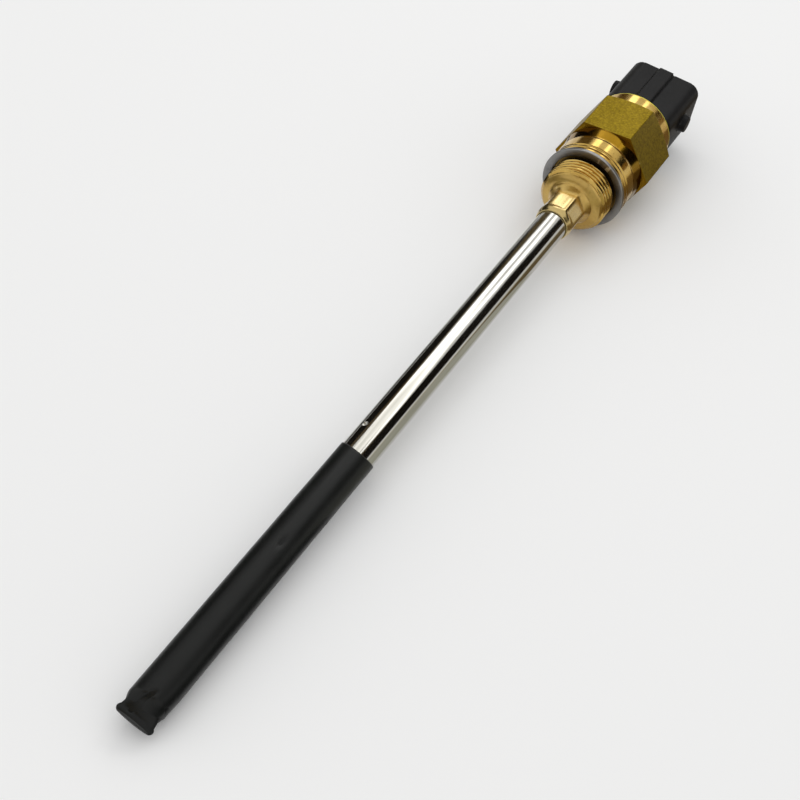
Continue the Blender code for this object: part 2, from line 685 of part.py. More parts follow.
def guides():
    """The wire grommet in the body and the two plugs that centre the strip in the tube."""
    at_pins = [tail_place(side, 0.0) for side in (-1, 1)]
    holed_disc("wire_grommet", CHAMBER_RADIUS - GAP, GROMMET_BOTTOM, GROMMET_TOP, at_pins, rubber)
    in_tube = [Vector((LEAD_OFFSET, side * LEAD_SPACING_IN_TUBE / 2, 0)) for side in (-1, 1)]
    plug = TUBE_INNER - FIT_GAP
    holed_disc("upper_guide", plug, GUIDE_BOTTOM, GUIDE_TOP, in_tube, white_plastic)

    shape = bmesh.new()
    place = Matrix.Translation((0, 0, (TUBE_BOTTOM + LOWER_GUIDE_TOP) / 2))
    rod(shape, plug, LOWER_GUIDE_LENGTH, place, steps=48)
    lower = add("lower_guide", mesh_from(shape, "lower_guide"), white_plastic)
    slot = bmesh.new()
    half_x = STRIP_THICKNESS / 2 + FIT_GAP
    half_y = STRIP_WIDTH / 2 + FIT_GAP
    box(slot, (-half_x, -half_y, STRIP_BOTTOM - FIT_GAP), (half_x, half_y, LOWER_GUIDE_TOP + 1.0 * MM))
    cut(lower, add_cutter("strip_slot", mesh_from(slot, "strip_slot")))


def carrier_strip():
    shape = bmesh.new()
    half_x = STRIP_THICKNESS / 2
    half_y = STRIP_WIDTH / 2
    box(shape, (-half_x, -half_y, STRIP_BOTTOM), (half_x, half_y, STRIP_TOP))
    add("carrier_strip", mesh_from(shape, "carrier_strip"), laminate)


def contact_clip(number, side):
    """A folded clip over the strip's edge."""
    inner_x = STRIP_THICKNESS / 2 + FIT_GAP
    outer_x = inner_x + CLIP_WALL
    edge = STRIP_WIDTH / 2 + FIT_GAP
    inner_y = STRIP_WIDTH / 2 - CLIP_REACH
    outline = [
        (outer_x, side * inner_y),
        (outer_x, side * (edge + CLIP_WALL)),
        (-outer_x, side * (edge + CLIP_WALL)),
        (-outer_x, side * inner_y),
        (-inner_x, side * inner_y),
        (-inner_x, side * edge),
        (inner_x, side * edge),
        (inner_x, side * inner_y),
    ]
    clip = flat_plate(f"contact_clip_{number}", outline, CLIP_HEIGHT, spring_brass)
    clip.location.z = (CLIP_TOP + CLIP_BOTTOM) / 2


def sensing_wire():
    """The thin wire: down from one clip, round the hook, and up to the other clip."""
    edge = STRIP_WIDTH / 2 - CLIP_REACH / 2
    bend = HOOK_WIRE_RADIUS + SENSING_WIRE_RADIUS + FIT_GAP
    points = [(-WIRE_OFFSET, edge, CLIP_TOP - 0.5 * MM)]
    steps = 10
    for i in range(steps + 1):
        angle = math.pi * i / steps
        points.append((-WIRE_OFFSET, bend * math.cos(angle), HOOK_TOP - bend * math.sin(angle)))
    points.append((-WIRE_OFFSET, -edge, CLIP_TOP - 0.5 * MM))
    wire("sensing_wire", points, SENSING_WIRE_RADIUS, sensing_metal)


def wire_hook():
    """A bent wire: an arch over the sensing wire's loop, and a long leg into the spring."""
    middle = -WIRE_OFFSET
    steps = 8
    arch = HOOK_TOP - HOOK_RADIUS
    points = [(middle + HOOK_RADIUS, 0, arch - 0.4 * MM)]
    for i in range(steps + 1):
        angle = math.pi * i / steps
        place = (middle + HOOK_RADIUS * math.cos(angle), 0, arch + HOOK_RADIUS * math.sin(angle))
        points.append(place)
    points.append((-SPRING_OFFSET, 0, SPRING_TOP - 1.5 * MM))
    wire("wire_hook", points, HOOK_WIRE_RADIUS, steel)


def tension_spring():
    points = []
    per_turn = 14
    rise = SPRING_LENGTH - 2 * SPRING_WIRE_RADIUS
    for i in range(SPRING_TURNS * per_turn + 1):
        angle = 2 * math.pi * i / per_turn
        height = SPRING_BOTTOM + SPRING_WIRE_RADIUS + rise * i / (SPRING_TURNS * per_turn)
        across = SPRING_RADIUS * math.cos(angle) - SPRING_OFFSET
        points.append((across, SPRING_RADIUS * math.sin(angle), height))
    wire("tension_spring", points, SPRING_WIRE_RADIUS, steel)


def lay_down():
    """Lays the sensor on its hexagon's front edge and its sleeve, centred over the origin."""
    laid_down.rotation_euler = (0, math.pi / 2 - REST_TILT, 0)
    bpy.context.view_layer.update()
    graph = bpy.context.evaluated_depsgraph_get()
    corners = []
    for piece in parts.objects:
        if piece.type == "EMPTY":
            continue
        solid = piece.evaluated_get(graph)
        mesh = solid.to_mesh()
        corners += [piece.matrix_world @ vert.co for vert in mesh.vertices]
        solid.to_mesh_clear()
    low = [min(corner[i] for corner in corners) for i in range(3)]
    high = [max(corner[i] for corner in corners) for i in range(3)]
    laid_down.location = (-(low[0] + high[0]) / 2, -(low[1] + high[1]) / 2, -low[2])


for old in list(bpy.data.objects):
    bpy.data.objects.remove(old, do_unlink=True)

parts = collection("oil_level_sensor")
cutters = collection("cutters", hidden=True)
laid_down = bpy.data.objects.new("laid_down", None)
parts.objects.link(laid_down)

brass = material("brass", (0.60, 0.43, 0.16), 0.28, 1.0)
spring_brass = material("spring_brass", (0.72, 0.55, 0.26), 0.35, 1.0)
steel = material("steel", (0.62, 0.61, 0.58), 0.12, 1.0)
tin = material("tin", (0.72, 0.72, 0.70), 0.30, 1.0)
sensing_metal = material("sensing_metal", (0.55, 0.52, 0.48), 0.30, 1.0)
aluminium = material("aluminium", (0.42, 0.41, 0.42), 0.42, 1.0)
black_plastic = material("black_plastic", (0.018, 0.018, 0.020), 0.42)
black_sleeve = material("black_sleeve", (0.016, 0.017, 0.016), 0.38)
white_plastic = material("white_plastic", (0.75, 0.74, 0.70), 0.50)
rubber = material("rubber", (0.02, 0.02, 0.02), 0.75)
laminate = material("laminate", (0.22, 0.34, 0.14), 0.45)
lead_colours = {
    1: material("lead_red", (0.45, 0.03, 0.02), 0.5),
    2: material("lead_blue", (0.03, 0.08, 0.40), 0.5),
}

threaded_body()
sealing_washer()
probe_tube()
shrink_sleeve()
connector_housing()
rubber_ring("housing_seal_ring", HOUSING_RING_MIDDLE, HOUSING_RING_RADIUS, RING_GROOVE_MIDDLE)
rubber_ring("tube_seal_ring", TUBE_RING_MIDDLE, TUBE_RING_RADIUS, TUBE_GROOVE_MIDDLE)
guides()
carrier_strip()
for pin_number, pin_side in ((1, -1), (2, 1)):
    terminal_pin(pin_number, pin_side)
    splice(pin_number, pin_side)
    lead_wire(pin_number, pin_side)
    contact_clip(pin_number, pin_side)
sensing_wire()
wire_hook()
tension_spring()
lay_down()
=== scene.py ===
"""Looks of the oil level sensor: detailed brass body, tube, sleeve and housing, lit as in a plain studio.

Pieces are built in the sensor's own axes, in millimetres: Z runs along the axis from the tip to the connector,
with 0 at the front of the sealing washer, and -X is up when the sensor lies on the table.
"""

import math

import bmesh
import bpy
from mathutils import Matrix, Vector, noise


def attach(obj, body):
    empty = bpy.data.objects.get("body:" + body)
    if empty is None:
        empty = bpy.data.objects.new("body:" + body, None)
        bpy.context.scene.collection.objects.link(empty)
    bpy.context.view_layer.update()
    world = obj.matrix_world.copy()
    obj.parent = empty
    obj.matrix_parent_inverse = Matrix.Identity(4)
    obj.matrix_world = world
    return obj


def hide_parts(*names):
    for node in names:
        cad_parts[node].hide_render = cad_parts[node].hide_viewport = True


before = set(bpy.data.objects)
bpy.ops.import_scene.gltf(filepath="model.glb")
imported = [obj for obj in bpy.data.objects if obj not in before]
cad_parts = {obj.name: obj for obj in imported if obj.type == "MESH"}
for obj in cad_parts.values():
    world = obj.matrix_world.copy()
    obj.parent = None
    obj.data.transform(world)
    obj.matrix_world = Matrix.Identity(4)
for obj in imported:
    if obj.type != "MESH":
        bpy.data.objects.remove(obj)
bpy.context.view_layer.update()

MM = 0.001

# Place of the sensor's own axes at rest, as in the CAD
LAID_DOWN = Matrix((
    (0.035656, 0.0, 0.999364, 0.086458),
    (0.0, 1.0, 0.0, 0.0),
    (-0.999364, 0.0, 0.035656, 0.013492),
    (0.0, 0.0, 0.0, 1.0),
))

# Sizes of the CAD, in millimetres
TUBE_RADIUS = 5.0
TUBE_INNER = 4.25
TUBE_BORE = 5.06
TUBE_BOTTOM = -228.4
TUBE_SEAT = 3.0
SLEEVE_RADIUS = 5.28
SLEEVE_TOP = -137.3
SLEEVE_SLANT = 3.2
TIP_END = -236.3
SHOULDER = -230.4
VENT_STATION = -130.4
VENT_ANGLE = 25.0
NECK_REACH = 22.0
NECK_RADIUS = 6.26
NECK_RIM_RADIUS = 5.46
CRIMP_APOTHEM = 5.62
CRIMP_ANGLE = -2.0
PINCH_ANGLE = 22.0
WASHER_INNER = 11.35
WASHER_OUTER = 13.8
WASHER_THICKNESS = 1.2
WASHER_LIFT = 0.2994
FACE_REACH = 8.1
CREST_RADIUS = 11.0
RELIEF_RADIUS = 9.9
COLLAR_RADIUS = 13.55
COLLAR_FRONT = 1.5
HEX_APOTHEM = 13.995
HEX_FRONT = 14.0
HEX_REAR = 33.0
HEX_FILLET = 0.3
LIP_RADIUS = 13.2
LIP_BORE = 11.9
LIP_END = 38.7
SEAL_GROOVE_RADIUS = 6.62
SEAL_GROOVE_TOP = -3.2
SEAL_GROOVE_BOTTOM = -4.8
TUBE_BORE_TOP = 3.3
WIRE_BORE_RADIUS = 4.0
CHAMBER_FLOOR = 8.0
CHAMBER_RADIUS = 11.30
RECESS_RADIUS = 12.36
RECESS_FLOOR = 34.68
HOUSING_TURN = 6.0
HOUSING_BASE = 39.0
HOUSING_END = 63.0
HOUSING_HALF_X = 8.9
HOUSING_HALF_Y = 12.1
HOUSING_WALL = 1.9
HOUSING_CORNER = 4.0
SOCKET_CORNER = 2.1
SOCKET_FLOOR = 44.0
PIN_MIDDLE = 2.75
PIN_SLOT_HALF_WIDTH = 1.46
PIN_SLOT_HALF_THICKNESS = 0.46
RIB_MIDDLE = 0.6
RIB_HALF_WIDTH = 2.6
BOSS_RADIUS = 3.2
BOSS_END_RADIUS = 2.7
BOSS_DEPTH = 3.1


# Node helpers


class Nodes:
    """A material's node tree with short calls to add and link nodes."""

    def __init__(self, name):
        self.material = bpy.data.materials.new(name)
        self.material.use_nodes = True
        self.tree = self.material.node_tree
        self.shader = self.tree.nodes["Principled BSDF"]

    def add(self, kind):
        return self.tree.nodes.new(kind)

    def link(self, source, target):
        self.tree.links.new(source, target)

    def axes(self):
        """The surface's place in the sensor's own axes, in metres."""
        where = self.add("ShaderNodeTexCoord")
        turned = self.add("ShaderNodeMapping")
        back = LAID_DOWN.inverted()
        turned.inputs["Location"].default_value = back.to_translation()
        turned.inputs["Rotation"].default_value = back.to_euler()
        self.link(where.outputs["Object"], turned.inputs["Vector"])
        return turned.outputs["Vector"]

    def place(self, scale):
        """The same place, stretched by a scale for each axis."""
        mapping = self.add("ShaderNodeMapping")
        mapping.inputs["Scale"].default_value = scale
        self.link(self.axes(), mapping.inputs["Vector"])
        return mapping.outputs["Vector"]

    def noise(self, scale, detail, roughness, stretch=(1, 1, 1)):
        """Cloudy noise fixed to the sensor; a stretch below 1 draws it out along that axis."""
        node = self.add("ShaderNodeTexNoise")
        node.inputs["Scale"].default_value = scale
        node.inputs["Detail"].default_value = detail
        node.inputs["Roughness"].default_value = roughness
        self.link(self.place(stretch), node.inputs["Vector"])
        return node.outputs["Fac"]

    def ramp(self, source, stops):
        """A colour ramp through (position, colour or grey) stops."""
        node = self.add("ShaderNodeValToRGB")
        elements = node.color_ramp.elements
        while len(elements) < len(stops):
            elements.new(0.5)
        for element, (position, colour) in zip(elements, stops):
            element.position = position
            shade = colour if isinstance(colour, tuple) else (colour, colour, colour)
            element.color = (*shade, 1)
        self.link(source, node.inputs["Fac"])
        return node.outputs["Color"]

    def math(self, operation, first, second=None):
        """A sum on numbers or sockets."""
        node = self.add("ShaderNodeMath")
        node.operation = operation
        for socket, value in zip(node.inputs, (first, second)):
            if value is None:
                continue
            if isinstance(value, (int, float)):
                socket.default_value = value
            else:
                self.link(value, socket)
        return node.outputs["Value"]

    def mix(self, share, first, second):
        """A mix of two colours, each a socket or a plain colour, by a socket's share."""
        node = self.add("ShaderNodeMix")
        node.data_type = "RGBA"
        factor, first_colour, second_colour = node.inputs[0], node.inputs[6], node.inputs[7]
        self.link(share, factor)
        for socket, value in ((first_colour, first), (second_colour, second)):
            if isinstance(value, tuple):
                socket.default_value = (*value, 1)
            else:
                self.link(value, socket)
        mixed_colour = node.outputs[2]
        return mixed_colour

    def edges(self, low=0.52, high=0.62):
        """A mask of convex edges, where handling wears the surface; on the ring it also carries a painted
        highlight.
        """
        node = self.add("ShaderNodeNewGeometry")
        return self.ramp(node.outputs["Pointiness"], ((low, 0.0), (high, 1.0)))

    def worn(self, colour, edge_colour, share, low=0.52, high=0.62):
        """The colour, with its convex edges worn towards another; on the ring this is also a painted
        highlight.
        """
        wear = self.math("MULTIPLY", self.edges(low, high), share)
        return self.mix(wear, colour, edge_colour)

    def attribute(self, name):
        node = self.add("ShaderNodeAttribute")
        node.attribute_name = name
        return node.outputs["Fac"]

    def bump(self, height, strength, distance, under=None):
        node = self.add("ShaderNodeBump")
        node.inputs["Strength"].default_value = strength
        node.inputs["Distance"].default_value = distance
        self.link(height, node.inputs["Height"])
        if under is not None:
            self.link(under, node.inputs["Normal"])
        return node.outputs["Normal"]

    def radius(self):
        """Distance from the sensor's axis, and station along it, in metres."""
        split = self.add("ShaderNodeSeparateXYZ")
        self.link(self.axes(), split.inputs["Vector"])
        squares = [self.math("MULTIPLY", split.outputs[axis], split.outputs[axis]) for axis in ("X", "Y")]
        return self.math("SQRT", self.math("ADD", *squares)), split.outputs["Z"]

    def finish(self, colour, roughness, normal, **values):
        """Feeds the shader and sets plain values on its own sockets."""
        for name, source in (("Base Color", colour), ("Roughness", roughness), ("Normal", normal)):
            self.link(source, self.shader.inputs[name])
        for name, value in values.items():
            self.shader.inputs[name.replace("_", " ")].default_value = value
        return self.material


def brass_material():
    """Turned and milled brass: mottled flats, smooth turned faces, painted shade in the gap by the ring and in
    the bore, a painted sheen on the neck's panels, a painted glint on the lip's end and a painted warm
    reflection on the cone.
    """
    n = Nodes("brass_turned_and_milled")
    patches = n.noise(120, 4, 0.6)
    specks = n.noise(900, 2, 0.5)
    mottle = n.noise(1300, 4, 0.7)
    milled = n.attribute("milled")
    painted_gap_shade = n.attribute("painted_gap_shade")
    satin_and_painted_sheen = n.attribute("satin_and_painted_sheen")
    rim = n.attribute("rim")
    turned = n.ramp(patches, (
        (0.35, (0.50, 0.31, 0.070)),
        (0.55, (0.61, 0.405, 0.105)),
        (0.75, (0.68, 0.47, 0.14)),
    ))
    flats = n.ramp(mottle, (
        (0.34, (0.150, 0.096, 0.001)),
        (0.50, (0.215, 0.145, 0.003)),
        (0.66, (0.295, 0.205, 0.008)),
    ))
    # The last of these three colours is near-black brown painted shade for the gap by the ring and for the
    # bore.
    brown, bright, gap_shade_colour = (0.17, 0.095, 0.020), (0.88, 0.68, 0.30), (0.035, 0.022, 0.010)
    # The next three colours: a painted sheen for the neck's panels, a painted warm reflection for the cone, a
    # painted glint for the lip's end.
    pale, tan, lip_glint_colour = (0.63, 0.50, 0.21), (0.23, 0.125, 0.006), (0.80, 0.74, 0.12)
    colour = n.mix(milled, turned, flats)
    spots = n.math("MULTIPLY", n.ramp(specks, ((0.28, 1.0), (0.40, 0.0))), 0.25)
    colour = n.mix(spots, colour, brown)
    colour = n.worn(colour, bright, 0.6)
    # Painted shade: the brass is darkened in the gap between ring, thread and collar, and in the bore.
    colour = n.mix(painted_gap_shade, colour, gap_shade_colour)
    # Painted sheen: the neck's panels are lifted to a pale gold, besides their real satin finish set by
    # roughness and coat.
    colour = n.mix(n.ramp(satin_and_painted_sheen, ((0.6, 0.0), (0.9, 0.6))), colour, pale)
    # Painted reflection: the cone behind the collar's step is darkened to a warm tan that stands for a warm
    # overhead reflection.
    colour = n.mix(n.attribute("painted_cone_reflection"), colour, tan)
    # Painted glint: the lip's rounded end is coloured a bright yellow-green.
    colour = n.mix(rim, colour, lip_glint_colour)

    radius, station = n.radius()
    lathe_marks = n.add("ShaderNodeTexNoise")
    lathe_marks.noise_dimensions = "2D"
    lathe_marks.inputs["Scale"].default_value = 5200
    lathe_marks.inputs["Detail"].default_value = 2
    both = n.add("ShaderNodeCombineXYZ")
    n.link(radius, both.inputs["X"])
    n.link(station, both.inputs["Y"])
    n.link(both.outputs["Vector"], lathe_marks.inputs["Vector"])
    grain = n.noise(2600, 3, 0.6, (1.0, 1.0, 0.08))
    plain = n.math("SUBTRACT", 1.0, milled)
    on_turned = n.math("MULTIPLY", lathe_marks.outputs["Fac"], plain)
    on_milled = n.math("MULTIPLY", grain, milled)
    height = n.math("ADD", on_turned, on_milled)
    bump = n.bump(height, 0.07, 0.00004)
    bump = n.bump(patches, 0.03, 0.0003, bump)

    rough_turned = n.ramp(patches, ((0.3, 0.17), (0.7, 0.11)))
    rough_flat = n.ramp(patches, ((0.3, 0.46), (0.7, 0.38)))
    rough_neck = n.ramp(satin_and_painted_sheen, ((0.5, 0.34), (0.9, 0.24)))
    rough = n.mix(milled, rough_turned, rough_flat)
    rough = n.mix(n.ramp(satin_and_painted_sheen, ((0.0, 0.0), (0.5, 1.0))), rough, rough_neck)
    rough = n.mix(painted_gap_shade, rough, (0.6, 0.6, 0.6))
    rough = n.mix(rim, rough, (0.65, 0.65, 0.65))
    coat = n.math("MULTIPLY", plain, n.ramp(satin_and_painted_sheen, ((0.2, 0.06), (0.8, 0.9))))
    n.link(coat, n.shader.inputs["Coat Weight"])
    return n.finish(colour, rough, bump, Metallic=1.0, Coat_Roughness=0.12, Coat_IOR=1.5)


def steel_material():
    """Polished tube: nearly a mirror, with faint lengthwise draw marks and smears."""
    n = Nodes("polished_steel")
    streaks = n.noise(1500, 3, 0.55, (1.0, 1.0, 0.02))
    smears = n.noise(60, 4, 0.6, (1.0, 1.0, 0.35))
    colour = n.ramp(smears, ((0.3, (0.47, 0.455, 0.415)), (0.7, (0.58, 0.57, 0.53))))
    lines = n.math("MULTIPLY", n.ramp(streaks, ((0.46, 0.0), (0.64, 1.0))), 0.4)
    colour = n.mix(lines, colour, (0.34, 0.33, 0.29))
    rough_smears = n.ramp(smears, ((0.3, 0.045), (0.75, 0.13)))
    rough = n.math("ADD", rough_smears, n.math("MULTIPLY", streaks, 0.04))
    bump = n.bump(streaks, 0.035, 0.00003)
    return n.finish(colour, rough, bump, Metallic=1.0)


def washer_material():
    """Dull grey pressed ring with fine scratches and bright worn edges, pushed brighter into a painted
    highlight on the rim.
    """
    n = Nodes("dull_grey_ring")
    patches = n.noise(180, 4, 0.6)
    scratches = n.noise(1800, 3, 0.7, (1.0, 0.15, 1.0))
    colour = n.ramp(patches, ((0.3, (0.138, 0.137, 0.137)), (0.7, (0.200, 0.198, 0.198))))
    # Worn edges made strong and nearly white: partly real wear, partly a painted highlight on the ring's rim.
    colour = n.worn(colour, (0.86, 0.85, 0.83), 0.9, 0.51, 0.57)
    rough = n.ramp(scratches, ((0.3, 0.30), (0.7, 0.46)))
    bump = n.bump(n.math("ADD", scratches, patches), 0.10, 0.0001)
    return n.finish(colour, rough, bump, Metallic=1.0)


def sleeve_material():
    """Satin black shrink sleeve, with a faint lengthwise grain and slightly paler edges."""
    n = Nodes("black_shrink_sleeve")
    patches = n.noise(90, 4, 0.6)
    grain = n.noise(1800, 2, 0.5, (1.0, 1.0, 0.12))
    fine = n.noise(5200, 2, 0.5)
    colour = n.ramp(patches, ((0.3, (0.0032, 0.0037, 0.0031)), (0.7, (0.0055, 0.0062, 0.0054))))
    colour = n.worn(colour, (0.030, 0.031, 0.030), 0.4, 0.52, 0.60)
    rough_patches = n.ramp(patches, ((0.3, 0.31), (0.7, 0.38)))
    rough = n.math("ADD", rough_patches, n.math("MULTIPLY", grain, 0.06))
    bump = n.bump(grain, 0.10, 0.00005)
    bump = n.bump(fine, 0.12, 0.00003, bump)
    return n.finish(colour, rough, bump, Specular_IOR_Level=0.26)


def plastic_material():
    """Black glass-filled plastic with a fine moulded texture and greyish worn edges."""
    n = Nodes("black_moulded_plastic")
    patches = n.noise(140, 4, 0.6)
    pores = n.noise(3600, 3, 0.65)
    colour = n.ramp(patches, ((0.3, (0.0040, 0.0040, 0.0042)), (0.7, (0.0080, 0.0080, 0.0084))))
    colour = n.worn(colour, (0.040, 0.040, 0.043), 0.5)
    rough = n.ramp(pores, ((0.3, 0.40), (0.7, 0.56)))
    bump = n.bump(pores, 0.22, 0.00008)
    bump = n.bump(patches, 0.10, 0.0004, bump)
    return n.finish(colour, rough, bump, Specular_IOR_Level=0.18)


def plain_metal(name, dark, bright, rough):
    """A metal for an inner node, with faint lengthwise lines."""
    n = Nodes(name)
    patches = n.noise(400, 3, 0.6)
    lines = n.noise(4000, 2, 0.5, (1.0, 1.0, 0.1))
    colour = n.ramp(patches, ((0.3, dark), (0.7, bright)))
    colour = n.worn(colour, (0.85, 0.84, 0.80), 0.4)
    roughness = n.math("ADD", n.math("MULTIPLY", lines, 0.14), rough)
    return n.finish(colour, roughness, n.bump(lines, 0.08, 0.00004), Metallic=1.0)


def plain_polymer(name, dark, bright, rough):
    """A plastic or rubber for an inner node, with slightly paler edges."""
    n = Nodes(name)
    patches = n.noise(300, 4, 0.6)
    fine = n.noise(4500, 2, 0.5)
    colour = n.ramp(patches, ((0.3, dark), (0.7, bright)))
    paler = tuple(min(1.0, value * 1.5 + 0.02) for value in bright)
    colour = n.worn(colour, paler, 0.4)
    roughness = n.math("ADD", n.math("MULTIPLY", fine, 0.12), rough)
    return n.finish(colour, roughness, n.bump(fine, 0.12, 0.00004))


# Mesh helpers


def smoothstep(low, high, value):
    share = min(max((value - low) / (high - low), 0.0), 1.0)
    return share * share * (3 - 2 * share)


def mesh_of(shape, name):
    mesh = bpy.data.meshes.new(name)
    shape.to_mesh(mesh)
    shape.free()
    return mesh


def add_piece(name, mesh, finish, replaced):
    """Adds a mesh that lies on the table as the piece that stands for a CAD node."""
    mesh.materials.append(finish)
    piece = bpy.data.objects.new(name, mesh)
    bpy.context.scene.collection.objects.link(piece)
    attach(piece, "root")
    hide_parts(replaced)


def piece_from(name, shape, finish, replaced, sharp, place=LAID_DOWN):
    """Makes a piece from a bmesh in millimetres, smooth but for edges past the sharp angle in degrees."""
    bmesh.ops.transform(shape, matrix=place @ Matrix.Scale(MM, 4), verts=shape.verts)
    bmesh.ops.recalc_face_normals(shape, faces=shape.faces)
    mesh = mesh_of(shape, name)
    mesh.shade_smooth()
    mesh.set_sharp_from_angle(angle=math.radians(sharp))
    add_piece(name, mesh, finish, replaced)


def circle(radius, station, steps):
    """A ring of points about the axis."""
    angles = [2 * math.pi * i / steps for i in range(steps)]
    return [(radius * math.cos(angle), radius * math.sin(angle), station) for angle in angles]


def skin(shape, rows, closed_rows=True):
    """Joins rows of points, each a closed loop, into a skin; closed_rows joins the last row to the first."""
    made = [[shape.verts.new(point) for point in row] for row in rows]
    pairs = list(zip(made, made[1:]))
    if closed_rows:
        pairs.append((made[-1], made[0]))
    for first, second in pairs:
        for i in range(len(first)):
            j = (i + 1) % len(first)
            shape.faces.new((first[i], first[j], second[j], second[i]))
    return made


def hexagon_radius(angle, apothem, fillet):
    """Distance from the axis to a hexagon with rounded corners; the middle of a flat is at angle 0."""
    corner = math.radians(30.0)
    off = (angle + corner) % (2 * corner) - corner
    reach = apothem / math.cos(corner) - fillet / math.sin(2 * corner)
    tangent = math.atan((apothem - fillet) * math.tan(corner) / apothem)
    if abs(off) <= tangent:
        return apothem / math.cos(off)
    beside = corner - abs(off)
    return reach * math.cos(beside) + math.sqrt(fillet ** 2 - (reach * math.sin(beside)) ** 2)


# Brass body

THREAD_PITCH = 1.5
THREAD_DEPTH = 0.90
COLLAR_GROOVES = (2.95, 4.40)
COLLAR_STEP = 9.7
CONE_TOP_RADIUS = 16.266
CONE_FALL = 2.077
PANEL_MIDDLE = -15.4
DENT_DEPTH = 0.06
# Masks the brass reads: milled flats, painted shade in the gap and the bore, a satin finish with a painted
# sheen on the neck, a painted glint on the lip's end and a painted reflection on the cone.
MASKS = ("milled", "painted_gap_shade", "satin_and_painted_sheen", "rim", "painted_cone_reflection")


def thread_radius(angle, station):
    """Radius of the thread: a helix of rounded ridges, chamfered at the front and run out by the ring."""
    turn = (station / THREAD_PITCH - angle / (2 * math.pi)) % 1.0
    ridge = smoothstep(0.12, 0.88, abs(2 * turn - 1))
    radius = CREST_RADIUS - THREAD_DEPTH * (1 - ridge)
    chamfer = CREST_RADIUS - 1.30 + (station + FACE_REACH) * 0.95
    runout = RELIEF_RADIUS + max(0.0, -station - 0.1) * 1.3
    return min(radius, chamfer, runout)


def neck_radius(angle, station):
    """Radius of the neck: a thin skirt on the tube, six pressed panels, faintly dented, and a flared foot."""
    swell = smoothstep(-NECK_REACH, -NECK_REACH + 2.8, station)
    full = NECK_RIM_RADIUS + (NECK_RADIUS - NECK_RIM_RADIUS) * swell
    low = -NECK_REACH + 1.0
    high = -FACE_REACH - 1.9
    press = smoothstep(low, low + 2.2, station) * (1 - smoothstep(high - 1.6, high + 0.4, station))
    side = (angle - math.radians(CRIMP_ANGLE) + math.radians(30)) % math.radians(60) - math.radians(30)
    panel = CRIMP_APOTHEM / math.cos(side)
    sharpness = 26.0
    rounded = (panel ** -sharpness + full ** -sharpness) ** (-1 / sharpness)
    along = (station - PANEL_MIDDLE) / 3.0
    dent = DENT_DEPTH * math.exp(-(along ** 4) - (math.degrees(side) / 15.0) ** 4)
    foot = smoothstep(-FACE_REACH - 3.4, -FACE_REACH - 0.9, station) ** 2
    return full + (rounded - dent - full) * press + foot


def collar_radius(station):
    """Radius of the turned collar: two grooves at its front, a small step and a cone up to the hexagon."""
    radius = COLLAR_RADIUS - 0.05 - 0.30 * smoothstep(COLLAR_STEP - 0.6, COLLAR_STEP, station)
    radius += 0.70 * min(max((station - COLLAR_STEP) / 4.2, 0.0), 1.0)
    for middle in COLLAR_GROOVES:
        radius -= 0.34 * (1 - smoothstep(0.10, 0.38, abs(station - middle)))
    return radius


